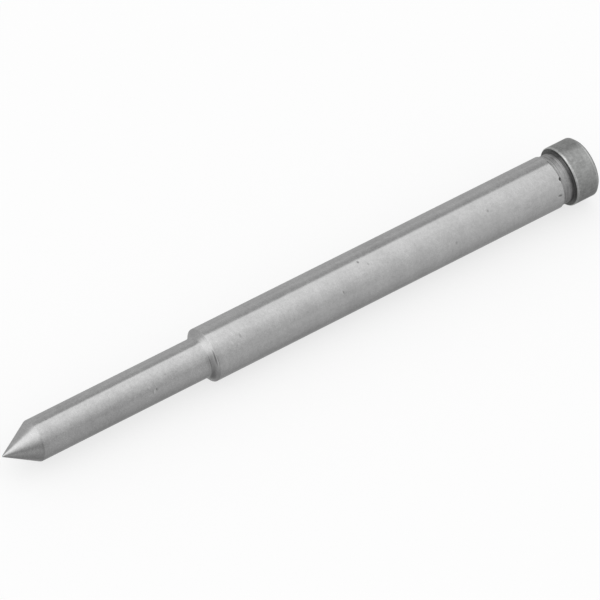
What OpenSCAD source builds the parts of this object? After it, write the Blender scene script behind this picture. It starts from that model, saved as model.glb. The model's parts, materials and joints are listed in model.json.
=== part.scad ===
// Stepped pilot pin for an annular cutter.
// One solid piece of hardened steel, turned and ground round a single axis.
// The axis lies along X and +Z is up. The origin is the centre of the head's rear face,
// and the point looks towards -X. All sizes are in millimetres.

/* [Point] */
// Included angle of the conical point
point_angle = 60; // [45:5:90]
// Radius of the blunted tip
tip_r = 0.15; // [0.05:0.05:0.4]

/* [Pilot] */
// Diameter of the thin front section
pilot_d = 6; // [5:0.1:6.1]
// Length from the theoretical sharp tip to the shoulder face
pilot_len = 33; // [20:1:60]
// Size of the 45 degree cone at the foot of the shoulder
foot_chamfer = 0.45; // [0.1:0.05:0.45]

/* [Shank] */
// Diameter of the ground shank that slides in the cutter
shank_d = 8; // [7.8:0.1:8.2]
// Length from the shoulder face to the neck
shank_len = 59.8; // [30:0.1:120]
// Chamfer on the shoulder's outer corner
shoulder_chamfer = 0.35; // [0.1:0.05:0.35]
// Chamfer on the shank's rear edge
rear_chamfer = 0.2; // [0.05:0.05:0.2]

/* [Neck] */
// Depth of the grinding relief between the shank and the head, below the shank's wall
neck_depth = 0.2; // [0.2:0.05:0.6]
// Length of the relief
neck_len = 1.8; // [1:0.1:4]
// Radius of the fillet where the relief meets the head
neck_r = 0.15; // [0.05:0.05:0.2]

/* [Head] */
// Diameter of the flanged head
head_d = 9; // [8.8:0.1:12]
// Thickness of the head
head_len = 4; // [2:0.1:6]
// Edge break on the head's front corner
head_front_chamfer = 0.15; // [0.05:0.05:0.25]
// Chamfer on the head's rear corner
head_rear_chamfer = 0.4; // [0.1:0.05:0.8]

/* [Hidden] */

// Sides of the round surfaces, and chords along a small fillet
round_fn = 128;
fillet_steps = 6;

pilot_r = pilot_d / 2;
shank_r = shank_d / 2;
neck_radius = shank_r - neck_depth;
head_r = head_d / 2;
half_angle = point_angle / 2;
cone_len = pilot_r / tan(half_angle);

// Stations along the axis, measured back from the theoretical sharp tip
shoulder_x = pilot_len;
shank_end_x = shoulder_x + shank_len;
head_front_x = shank_end_x + neck_len;
head_rear_x = head_front_x + head_len;

// The centre of the tip's sphere, which is tangent to the cone
tip_centre_x = tip_r / sin(half_angle);

// Points along a circular arc in the [radius, station] plane
function arc(centre, r, from, to) = [
    for (i = [0 : fillet_steps])
        let (a = from + (to - from) * i / fillet_steps)
        centre + r * [cos(a), sin(a)]
];

// Half section of the pin as [radius, station] points, from the tip to the rear face
profile = concat(
    arc([0, tip_centre_x], tip_r, -90, -half_angle),
    [
        [pilot_r, cone_len],
        [pilot_r, shoulder_x - foot_chamfer],
        [pilot_r + foot_chamfer, shoulder_x],
        [shank_r - shoulder_chamfer, shoulder_x],
        [shank_r, shoulder_x + shoulder_chamfer],
        [shank_r, shank_end_x - rear_chamfer],
        [shank_r - rear_chamfer, shank_end_x],
        [neck_radius, shank_end_x]
    ],
    arc([neck_radius + neck_r, head_front_x - neck_r], neck_r, 180, 90),
    [
        [head_r - head_front_chamfer, head_front_x],
        [head_r, head_front_x + head_front_chamfer],
        [head_r, head_rear_x - head_rear_chamfer],
        [head_r - head_rear_chamfer, head_rear_x],
        [0, head_rear_x]
    ]
);

// The whole pin: point, pilot, shoulder, shank, neck and head are turned from one bar
module pilot_pin() {
    color("silver")
        translate([-head_rear_x, 0, 0])
            rotate([0, 90, 0])
                rotate_extrude($fn = round_fn)
                    polygon(profile);
}

pilot_pin();
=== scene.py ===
"""Looks of the stepped pilot pin: one lathe-turned mesh with ground, turned and faced surfaces."""

import json
import math

import bmesh
import bpy
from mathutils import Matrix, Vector


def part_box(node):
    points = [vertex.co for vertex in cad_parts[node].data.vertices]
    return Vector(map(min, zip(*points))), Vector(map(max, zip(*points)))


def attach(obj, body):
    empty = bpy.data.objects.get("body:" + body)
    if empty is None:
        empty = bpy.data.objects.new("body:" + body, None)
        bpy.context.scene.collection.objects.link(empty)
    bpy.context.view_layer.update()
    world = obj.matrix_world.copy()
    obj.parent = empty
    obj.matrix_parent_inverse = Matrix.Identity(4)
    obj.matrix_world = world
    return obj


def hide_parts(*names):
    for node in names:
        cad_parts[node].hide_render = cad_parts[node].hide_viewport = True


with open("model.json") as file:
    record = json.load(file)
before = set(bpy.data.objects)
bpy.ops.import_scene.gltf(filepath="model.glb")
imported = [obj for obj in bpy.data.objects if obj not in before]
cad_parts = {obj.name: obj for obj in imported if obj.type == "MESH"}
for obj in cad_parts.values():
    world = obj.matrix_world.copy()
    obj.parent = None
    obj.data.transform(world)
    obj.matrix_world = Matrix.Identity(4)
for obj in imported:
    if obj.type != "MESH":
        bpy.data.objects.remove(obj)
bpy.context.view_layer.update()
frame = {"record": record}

MM = 0.001

# ---------------------------------------------------------------- sizes (mm)

# The frame gives the stations and the radii of the cylinders
NODE = "pilot_pin"
low, high = (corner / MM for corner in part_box(NODE))
mounts = {m["name"]: m for m in frame["record"]["mounts"]}


def wall(name):
    """Radius, front end and rear end of a cylindrical mount's wall."""
    dims = mounts[name]["dims"]
    middle = mounts[name]["pos_m"][0] / MM
    return dims["r_mm"], middle - dims["length_mm"] / 2, middle + dims["length_mm"] / 2


TIP_X = low.x
REAR_X = high.x
HEAD_R = high.y
PILOT_R, CONE_BASE_X, FOOT_X = wall("pilot")
SHANK_R, SHANK_FRONT_X, SHANK_REAR_X = wall("shank")

# The edges, the tip and the neck are as in the part's source
TIP_ROUND = 0.15
TIP_ARC = math.radians(60)
TIP_STEPS = 6
FOOT_CONE = 0.45
REAR_CHAMFER = 0.2
NECK_R = 3.8
NECK_LEN = 1.8
NECK_FILLET = 0.15
HEAD_FRONT_CHAMFER = 0.15
HEAD_REAR_CHAMFER = 0.4

SHOULDER_X = FOOT_X + FOOT_CONE
NECK_X = SHANK_REAR_X + REAR_CHAMFER
HEAD_X = NECK_X + NECK_LEN

# The pilot flares a little before the shoulder. The shoulder's two cones meet this far behind its
# plane and this far outside the pilot's wall
FLARE_LEN = 0.5
FLARE_RISE = 0.06
BREAK_X = 0.05
BREAK_RISE = 0.60

# The tool's rings in the neck
RING_START = 0.05
RING_PITCH = 0.26
RING_DEPTH = 0.03

# ---------------------------------------------------------------- the lathe

SIDES = 192
ARC_STEP = math.radians(12)

# Two stations that are closer than this count as one (mm)
HAIR = 0.01


def straight(start, end, spacing):
    """Points after start up to end, evenly spaced."""
    count = max(1, round((end - start).length / spacing))
    return [start.lerp(end, k / count) for k in range(1, count + 1)]


def rounded(corners):
    """Points along a polyline of (x, r, round radius, spacing to the next corner) corners."""
    points = [Vector(corners[0][:2])]
    for i in range(1, len(corners)):
        before = Vector(corners[i - 1][:2])
        here = Vector(corners[i][:2])
        spacing = corners[i - 1][3]
        if i == len(corners) - 1 or not corners[i][2]:
            points += straight(points[-1], here, spacing)
            continue
        after = Vector(corners[i + 1][:2])
        into, out = (here - before).normalized(), (after - here).normalized()
        turn = into.angle_signed(out)
        radius = corners[i][2]
        cut = radius * math.tan(abs(turn) / 2)
        start = here - into * cut
        way = -1 if turn > 0 else 1
        centre = start + Vector((-into.y, into.x)) * way * radius
        points += straight(points[-1], start, spacing)
        steps = max(2, math.ceil(abs(turn) / ARC_STEP))
        for k in range(1, steps + 1):
            spoke = start - centre
            angle = abs(turn) * k / steps * way
            points.append(centre + Vector((
                spoke.x * math.cos(angle) - spoke.y * math.sin(angle),
                spoke.x * math.sin(angle) + spoke.y * math.cos(angle),
            )))
    return points


def outline():
    """Half section of the pin as (x, r) points in millimetres, from the tip to the rear centre."""
    centre_x = TIP_X + TIP_ROUND
    tip = [
        Vector((centre_x - TIP_ROUND * math.cos(a), TIP_ROUND * math.sin(a)))
        for a in (TIP_ARC * k / TIP_STEPS for k in range(TIP_STEPS + 1))
    ]
    body = rounded([
        (*tip[-1], 0, 0.3),
        (CONE_BASE_X, PILOT_R, 0.4, 1.0),
        (FOOT_X - FLARE_LEN, PILOT_R, 3.0, 0.1),
        (FOOT_X, PILOT_R + FLARE_RISE, 0.25, 0.1),
        (SHOULDER_X + BREAK_X, PILOT_R + BREAK_RISE, 0.02, 0.05),
        (SHANK_FRONT_X, SHANK_R, 0.12, 1.0),
        (SHANK_REAR_X, SHANK_R, 0.08, 0.1),
        (NECK_X, NECK_R, 0.03, 0.03),
        (HEAD_X, NECK_R, NECK_FILLET, 0.05),
        (HEAD_X, HEAD_R - HEAD_FRONT_CHAMFER, 0.04, 0.05),
        (HEAD_X + HEAD_FRONT_CHAMFER, HEAD_R, 0.04, 0.2),
        (REAR_X - HEAD_REAR_CHAMFER, HEAD_R, 0.06, 0.1),
        (REAR_X, HEAD_R - HEAD_REAR_CHAMFER, 0.05, 0.2),
        (REAR_X, 0, 0, 0.1),
    ])
    return tip[:-1] + body


def turned(points, x_from, x_to, pitch, depth):
    """Cuts tool marks of that pitch and depth into the points between two stations."""
    out = []
    for p in points:
        if x_from <= p.x <= x_to:
            p = Vector((p.x, p.y - depth * abs(math.sin(math.pi * (p.x - x_from) / pitch))))
        out.append(p)
    return out


def with_stations(points, stations):
    """Adds points at those stations where the outline runs along the axis."""
    out = [points[0]]
    for a, b in zip(points, points[1:]):
        for x in sorted(stations):
            if a.x + HAIR < x < b.x - HAIR:
                out.append(a.lerp(b, (x - a.x) / (b.x - a.x)))
        out.append(b)
    return out


# Small dents: station from the head's rear face, angle up from the camera's side, half length
# along the pin, half width round it and depth, in millimetres and degrees. A negative depth is a
# raised burr with a painted highlight on it. The last three darken the corner under the shoulder,
# on its lower side, with painted shade
NICKS = (
    (-76.0, -12, 0.35, 0.30, -0.015),
    (-75.4, -29, 0.25, 0.40, -0.020),
    (-75.0, -24, 0.20, 0.25, 0.030),
    (-73.0, 0, 0.30, 0.25, 0.020),
    (-62.4, -4, 0.30, 0.35, -0.015),
    (-61.6, -11, 0.30, 0.30, -0.012),
    (-60.8, 2, 0.25, 0.50, 0.025),
    (-43.9, -13, 0.20, 0.30, 0.030),
    (-39.6, 30, 0.25, 0.30, 0.050),
    (-38.5, 16, 0.20, 0.30, 0.025),
    (-26.0, -22, 0.50, 0.20, -0.012),
    (-24.8, -27, 0.30, 0.30, 0.025),
    (-18.4, 3, 0.30, 0.40, 0.030),
    (-6.7, -38, 0.45, 0.20, 0.10),
    (-5.95, -5, 0.30, 0.35, 0.20),
    (-30.0, 150, 0.30, 0.40, 0.05),
    (-55.0, 205, 0.25, 0.40, 0.05),
    (-5.92, 40, 0.20, 1.20, 0.03),
    (-3.90, 28, 0.20, 1.30, -0.030),
    (-65.44, -18, 0.09, 1.80, 0.06),
    (-65.78, -30, 0.45, 2.30, 0.050),
    (-65.82, -74, 0.42, 1.60, 0.050),
)
NICK_STEPS = 4
CAMERA_SIDE = math.radians(129.5)

# How far the point's base edge leans along the pin, and how long the pilot takes to lose it
LEAN = 0.2
LEAN_FADE = 2.0


def nick_stations():
    """Closer stations across each nick, so that its floor is real mesh."""
    steps = range(-NICK_STEPS, NICK_STEPS + 1)
    return {round(x + half * k / NICK_STEPS, 2) for x, _, half, _, _ in NICKS for k in steps}


def dent(x, r, angle):
    """How deep the nicks are at that station, radius and angle."""
    total = 0
    for nick_x, up, half_len, half_width, depth in NICKS:
        turn = angle - (CAMERA_SIDE - math.radians(up))
        turn = math.atan2(math.sin(turn), math.cos(turn))
        away = math.hypot((x - nick_x) / half_len, turn * r / half_width)
        if away < 1:
            total += depth * (1 - away * away) ** 2
    return total


def lean(x, angle):
    """How far the slightly skewed point moves a station back along the pin at that angle."""
    if x < CONE_BASE_X:
        share = (x - TIP_X) / (CONE_BASE_X - TIP_X)
    else:
        share = 1 - (x - CONE_BASE_X) / LEAN_FADE
    return LEAN * max(0, share) * math.cos(angle - CAMERA_SIDE + math.radians(90))


def put_in_scene(name, mesh):
    thing = bpy.data.objects.new(name, mesh)
    bpy.context.scene.collection.objects.link(thing)
    return thing


def lathe(name, points):
    """A closed surface of revolution about X. The first and last points lie on the axis.

    The nicks and the lean are cut into it, and nothing stands outside the head's wall or rear."""
    bm = bmesh.new()
    pit = bm.verts.layers.float.new("pit")
    rings = []
    for p in points[1:-1]:
        ring = []
        for s in range(SIDES):
            angle = 2 * math.pi * s / SIDES
            depth = dent(p.x, p.y, angle)
            x = min(p.x + lean(p.x, angle), REAR_X)
            r = min(p.y - depth, HEAD_R)
            ring.append(bm.verts.new(Vector((x, r * math.cos(angle), r * math.sin(angle))) * MM))
            ring[-1][pit] = depth * MM
        rings.append(ring)
    for a, b in zip(rings, rings[1:]):
        for s in range(SIDES):
            t = (s + 1) % SIDES
            bm.faces.new((a[s], a[t], b[t], b[s]))
    front = bm.verts.new(Vector((points[0].x, 0, 0)) * MM)
    back = bm.verts.new(Vector((points[-1].x, 0, 0)) * MM)
    for s in range(SIDES):
        t = (s + 1) % SIDES
        bm.faces.new((front, rings[0][t], rings[0][s]))
        bm.faces.new((back, rings[-1][s], rings[-1][t]))
    bmesh.ops.recalc_face_normals(bm, faces=bm.faces)
    for face in bm.faces:
        face.smooth = True
    mesh = bpy.data.meshes.new(name)
    bm.to_mesh(mesh)
    bm.free()
    return put_in_scene(name, mesh)


# ---------------------------------------------------------------- materials

ANISO_ROTATION = 0.25


class Tree:
    """A node tree that is built one node at a time."""

    def __init__(self, owner):
        owner.use_nodes = True
        self.nodes = owner.node_tree.nodes
        self.links = owner.node_tree.links

    def add(self, kind, inputs=(), output=0, **settings):
        """Adds a node. An input is a value, or another node's output to link; returns an output."""
        node = self.nodes.new(kind)
        for name, value in settings.items():
            setattr(node, name, value)
        for key, value in dict(inputs).items():
            self.feed(node.inputs[key], value)
        return node.outputs[output]

    def feed(self, socket, value):
        if isinstance(value, bpy.types.NodeSocket):
            self.links.new(value, socket)
        else:
            socket.default_value = value

    def math(self, operation, *values):
        return self.add("ShaderNodeMath", enumerate(values), operation=operation)


def lay(tree):
    """Where a point lies along the outline and round the pin, so that marks run in rings."""
    place = tree.add("ShaderNodeTexCoord", output="Object")
    split = tree.nodes.new("ShaderNodeSeparateXYZ")
    tree.feed(split.inputs[0], place)
    x, y, z = split.outputs
    flat = tree.add("ShaderNodeCombineXYZ", {"Y": y, "Z": z})
    radius = tree.add("ShaderNodeVectorMath", {0: flat}, output="Value", operation="LENGTH")
    along = tree.math("ADD", x, radius)
    return x, tree.add("ShaderNodeCombineXYZ", {"X": along, "Y": y, "Z": z})


def grain(tree, where, along, round_it, detail):
    """Noise between -1 and 1 with marks that long, in millimetres, along and round the pin."""
    scale = (1 / (along * MM), 1 / (round_it * MM), 1 / (round_it * MM))
    scaled = tree.add("ShaderNodeVectorMath", {0: where, 1: scale}, operation="MULTIPLY")
    noise = tree.add("ShaderNodeTexNoise", {"Vector": scaled, "Scale": 1, "Detail": detail})
    return tree.math("MULTIPLY_ADD", noise, 2, -1)


def ramp(tree, value, stops):
    """A grey level that goes through those (value, level) stops."""
    first, last = stops[0][0], stops[-1][0]
    share = tree.add("ShaderNodeMapRange", {"Value": value, "From Min": first, "From Max": last})
    node = tree.nodes.new("ShaderNodeValToRGB")
    tree.feed(node.inputs["Fac"], share)
    elements = node.color_ramp.elements
    while len(elements) < len(stops):
        elements.new(0.5)
    for element, (at, level) in zip(elements, stops):
        element.position = (at - first) / (last - first)
        element.color = (level, level, level, 1)
    return node.outputs["Color"]


def steel(name, colour, roughness, anisotropy, marks, wear_and_painted_light):
    """Bare steel, brighter or darker along the pin as the (station, factor) stops say: worn bands,
    painted shade and painted highlights.

    Each mark is (length along, length round, detail, colour, roughness, height) in millimetres."""
    material = bpy.data.materials.new(name)
    tree = Tree(material)
    shader = tree.nodes["Principled BSDF"]
    shader.inputs["Metallic"].default_value = 1
    shader.inputs["Anisotropic"].default_value = anisotropy
    shader.inputs["Anisotropic Rotation"].default_value = ANISO_ROTATION
    tangent = tree.add("ShaderNodeTangent", direction_type="RADIAL", axis="X")
    tree.feed(shader.inputs["Tangent"], tangent)
    x, where = lay(tree)
    tone, rough, height = 1, roughness, 0
    for along, round_it, detail, in_colour, in_roughness, in_height in marks:
        noise = grain(tree, where, along, round_it, detail)
        tone = tree.math("MULTIPLY_ADD", noise, in_colour, tone)
        rough = tree.math("MULTIPLY_ADD", noise, in_roughness, rough)
        height = tree.math("MULTIPLY_ADD", noise, in_height * MM, height)
    pit = tree.add("ShaderNodeAttribute", output="Fac", attribute_name="pit")
    # Worn bands, painted shade and painted highlights along the pin, then painted shade and
    # highlights by nick depth
    for place, stops in ((x, wear_and_painted_light), (pit, PIT_SHADE_AND_HIGHLIGHT)):
        factor = ramp(tree, place, [(at * MM, level) for at, level in stops])
        tone = tree.math("MULTIPLY", tone, factor)
    shade = tree.add("ShaderNodeVectorMath", {0: colour, "Scale": tone}, operation="SCALE")
    tree.feed(shader.inputs["Base Color"], shade)
    tree.feed(shader.inputs["Roughness"], rough)
    bump = tree.add("ShaderNodeBump", {"Height": height, "Distance": 1, "Strength": 1})
    tree.feed(shader.inputs["Normal"], bump)
    return material


GROUND_MARKS = (
    (5.0, 5.0, 1, 0.09, 0.04, 0),
    (2.5, 30, 1, 0.08, 0.03, 0),
    (15, 0.7, 1, 0.05, 0, 0),
    (0.15, 3, 2, 0.04, 0.05, 0.0003),
    (0.5, 0.6, 2, 0.15, 0.06, 0.0015),
    (0.2, 0.2, 1, 0.14, 0.05, 0.0005),
)
TURNED_MARKS = (
    (0.25, 6, 1, 0.60, 0.10, 0.0030),
    (0.6, 0.9, 2, 0.35, 0.06, 0.0010),
    (0.2, 0.2, 1, 0.20, 0.05, 0.0010),
)
HEAD_MARKS = (
    (2.0, 2.5, 2, 0.35, 0.08, 0.0010),
    (0.2, 4, 2, 0.15, 0.06, 0.0010),
    (0.45, 0.4, 2, 0.35, 0.06, 0.0020),
    (0.2, 0.2, 1, 0.20, 0.05, 0.0005),
)

# Brightness by the depth of a nick (mm): painted shade that deepens with the dent, and a painted
# highlight on a raised burr. Then brightness by station along the pin
PIT_SHADE_AND_HIGHLIGHT = ((-0.030, 1.25), (0, 1), (0.03, 0.7), (0.10, 0.30))
SHANK_WEAR = (
    (SHANK_FRONT_X, 1),
    (SHANK_FRONT_X + 0.05, 1.07),
    (SHANK_FRONT_X + 0.8, 1.07),
    (SHANK_FRONT_X + 1.8, 1),
)
# Lighter on the shank's rear chamfer, then painted shade that darkens the neck's last 0.7 mm into
# the corner at the head
NECK_TONE_AND_SHADE = (
    (SHANK_REAR_X, 1.5),
    (NECK_X, 1.5),
    (NECK_X + 0.08, 1),
    (HEAD_X - 0.68, 1),
    (HEAD_X - 0.28, 0.4),
    (HEAD_X, 0.4),
)
# Painted shade on the head's front face, and painted highlights along its front and rear edges
HEAD_SHADE_AND_HIGHLIGHTS = (
    (HEAD_X, 0.5),
    (HEAD_X + 0.01, 1.5),
    (HEAD_X + 0.22, 1.5),
    (HEAD_X + 0.32, 1),
    (REAR_X - 0.62, 1),
    (REAR_X - 0.54, 1.3),
    (REAR_X - 0.38, 1.3),
    (REAR_X - 0.28, 1),
    (REAR_X, 1),
)


def materials():
    return (
        steel("ground_steel", (0.60, 0.60, 0.60), 0.22, 0.7, GROUND_MARKS, SHANK_WEAR),
        steel("turned_steel", (0.45, 0.45, 0.45), 0.42, 0.6, TURNED_MARKS, NECK_TONE_AND_SHADE),
        steel("head_steel", (0.42, 0.425, 0.42), 0.45, 0.6, HEAD_MARKS, HEAD_SHADE_AND_HIGHLIGHTS),
    )


# ---------------------------------------------------------------- the piece

profile = turned(outline(), NECK_X + RING_START, HEAD_X - NECK_FILLET, RING_PITCH, RING_DEPTH)
pin = lathe("pilot_pin_body", with_stations(profile, nick_stations()))
for material in materials():
    pin.data.materials.append(material)
for face in pin.data.polygons:
    x = face.center.x / MM
    face.material_index = 0 if x < SHANK_REAR_X else 1 if x < HEAD_X - HAIR else 2
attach(pin, "root")
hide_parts(NODE)

# ---------------------------------------------------------------- floor, light and camera

# Half the floor's side in metres, the light that it reflects and gives off, and the sky's level
FLOOR_HALF = 40.0
FLOOR_COLOUR = 0.30
FLOOR_GLOW = 0.69
SKY = 0.98


def make_floor():
    """A pale lit table top that touches the front edges of the head and the shank."""
    head_edge = HEAD_X + HEAD_FRONT_CHAMFER
    slope = (SHANK_R - HEAD_R) / (head_edge - SHANK_FRONT_X)
    corners = []
    for a, b in ((-1, -1), (1, -1), (1, 1), (-1, 1)):
        x = a * FLOOR_HALF
        corners.append((x, b * FLOOR_HALF, -HEAD_R * MM + slope * (x - head_edge * MM)))
    mesh = bpy.data.meshes.new("floor")
    mesh.from_pydata(corners, [], [(0, 1, 2, 3)])
    floor = put_in_scene("floor", mesh)
    material = bpy.data.materials.new("floor")
    shader = Tree(material).nodes["Principled BSDF"]
    shader.inputs["Base Color"].default_value = (FLOOR_COLOUR, FLOOR_COLOUR, FLOOR_COLOUR, 1)
    shader.inputs["Roughness"].default_value = 1
    shader.inputs["Specular IOR Level"].default_value = 0
    shader.inputs["Emission Color"].default_value = (1, 1, 1, 1)
    shader.inputs["Emission Strength"].default_value = FLOOR_GLOW
    material.cycles.emission_sampling = "NONE"
    mesh.materials.append(material)
    floor.visible_glossy = False


# The light tent round the pin. Each panel gives the brightness seen in one direction along the
# pin, from -1 towards the point to 1 towards the head, by degrees above the horizon in front of
# the pin, over the top (90) and down behind it (180)
TENT_RADIUS = 0.45
TENT_SIDES = 96
TENT = (
    (-0.88, (
        (-180, 0.45), (-90, 0.43), (-70, 0.49), (-44, 0.64), (-22, 0.64), (-4, 0.61),
        (12, 0.66), (25, 0.76), (50, 0.95), (80, 1.10), (108, 1.20), (135, 1.26), (150, 1.20),
        (162, 0.62), (180, 0.52),
    )),
    (-0.65, (
        (-180, 0.50), (-130, 0.40), (-80, 0.30), (-53, 0.35), (-22, 0.42), (-10, 0.36),
        (1, 0.28), (13, 0.26), (28, 0.37), (52, 0.78), (64, 0.97), (76, 1.15), (100, 1.24),
        (115, 1.18), (136, 0.66), (150, 0.55), (180, 0.49),
    )),
    (-0.25, (
        (-180, 0.50), (-130, 0.40), (-80, 0.26), (-53, 0.28), (-22, 0.28), (1, 0.23),
        (13, 0.25), (28, 0.36), (52, 0.72), (76, 1.06), (100, 1.15), (118, 1.10), (125, 0.50),
        (135, 0.46), (158, 0.52), (180, 0.50),
    )),
    (0.15, (
        (-180, 0.50), (-130, 0.40), (-80, 0.30), (-53, 0.35), (-22, 0.38), (1, 0.32),
        (13, 0.34), (25, 0.45), (50, 0.75), (76, 1.02), (100, 1.08), (119, 1.06), (125, 0.46),
        (135, 0.44), (158, 0.50), (180, 0.50),
    )),
    (0.33, (
        (-180, 0.52), (-130, 0.40), (-80, 0.31), (-45, 0.44), (-15, 0.52), (12, 0.49),
        (27, 0.54), (51, 0.66), (75, 0.90), (100, 0.98), (119, 1.08), (125, 0.43), (135, 0.44),
        (146, 0.49), (158, 0.57), (170, 0.48), (180, 0.51),
    )),
    (0.47, (
        (-180, 0.52), (-130, 0.42), (-85, 0.35), (-45, 0.52), (-9, 0.62), (12, 0.65),
        (39, 0.76), (63, 0.88), (87, 0.99), (119, 1.10), (125, 0.43), (135, 0.44), (146, 0.51),
        (158, 0.60), (170, 0.49), (180, 0.52),
    )),
    (0.80, (
        (-180, 0.50), (-130, 0.42), (-85, 0.40), (-45, 0.46), (-9, 0.85), (12, 0.95),
        (39, 0.92), (63, 0.80), (87, 0.62), (105, 0.42), (115, 0.30), (135, 0.30), (160, 0.50),
        (180, 0.50),
    )),
    (0.95, (
        (-180, 0.50), (-130, 0.50), (-85, 0.50), (-45, 0.60), (-9, 0.90), (12, 1.00),
        (39, 1.00), (63, 0.95), (87, 0.90), (105, 0.80), (115, 0.60), (124, 0.42), (160, 0.50),
        (180, 0.50),
    )),
)


def make_tent():
    """A sphere that only reflections see, lit by direction as the panels say."""
    bm = bmesh.new()
    bmesh.ops.create_uvsphere(
        bm, u_segments=TENT_SIDES, v_segments=TENT_SIDES // 2, radius=TENT_RADIUS
    )
    mesh = bpy.data.meshes.new("light_tent")
    bm.to_mesh(mesh)
    bm.free()
    tent = put_in_scene("light_tent", mesh)
    tent.location.x = (TIP_X + REAR_X) / 2 * MM
    material = bpy.data.materials.new("light_tent")
    tree = Tree(material)
    place = tree.add("ShaderNodeTexCoord", output="Object")
    direction = tree.add("ShaderNodeVectorMath", {0: place}, operation="NORMALIZE")
    split = tree.nodes.new("ShaderNodeSeparateXYZ")
    tree.feed(split.inputs[0], direction)
    x, y, z = split.outputs
    angle = tree.math("ARCTAN2", z, tree.math("MULTIPLY", y, -1))
    degrees = tree.math("MULTIPLY", angle, 180 / math.pi)
    level = ramp(tree, degrees, TENT[0][1])
    for (from_x, _), (to_x, stops) in zip(TENT, TENT[1:]):
        share = tree.add("ShaderNodeMapRange", {"Value": x, "From Min": from_x, "From Max": to_x})
        panel = ramp(tree, degrees, stops)
        level = tree.add("ShaderNodeMix", {"Factor": share, "A": level, "B": panel})
    glow = tree.add("ShaderNodeEmission", {"Color": level, "Strength": 1})
    tree.feed(tree.nodes["Material Output"].inputs["Surface"], glow)
    material.cycles.emission_sampling = "NONE"
    mesh.materials.append(material)
    tent.visible_camera = False
    tent.visible_diffuse = False
    tent.visible_shadow = False


def make_sky():
    world = bpy.data.worlds.new("sky")
    bpy.context.scene.world = world
    Tree(world).nodes["Background"].inputs["Color"].default_value = (SKY, SKY, SKY, 1)


CAMERA_AZIMUTH = math.radians(-35.36)
CAMERA_ELEVATION = math.radians(45)
CAMERA_DISTANCE = 0.8272
CAMERA_LENS = 358
AIM = Vector((-49.015, 0, 1.3675)) * MM


def make_camera():
    back = Vector((
        math.sin(CAMERA_AZIMUTH) * math.cos(CAMERA_ELEVATION),
        -math.cos(CAMERA_AZIMUTH) * math.cos(CAMERA_ELEVATION),
        math.sin(CAMERA_ELEVATION),
    ))
    data = bpy.data.cameras.new("camera")
    data.lens = CAMERA_LENS
    data.sensor_width = 36
    data.clip_start = 0.01
    data.clip_end = 200
    camera = put_in_scene("camera", data)
    camera.location = AIM + back * CAMERA_DISTANCE
    camera.rotation_mode = "QUATERNION"
    camera.rotation_quaternion = (-back).to_track_quat("-Z", "Y")
    bpy.context.scene.camera = camera


make_floor()
make_tent()
make_sky()
make_camera()
bpy.context.scene.view_settings.view_transform = "Standard"
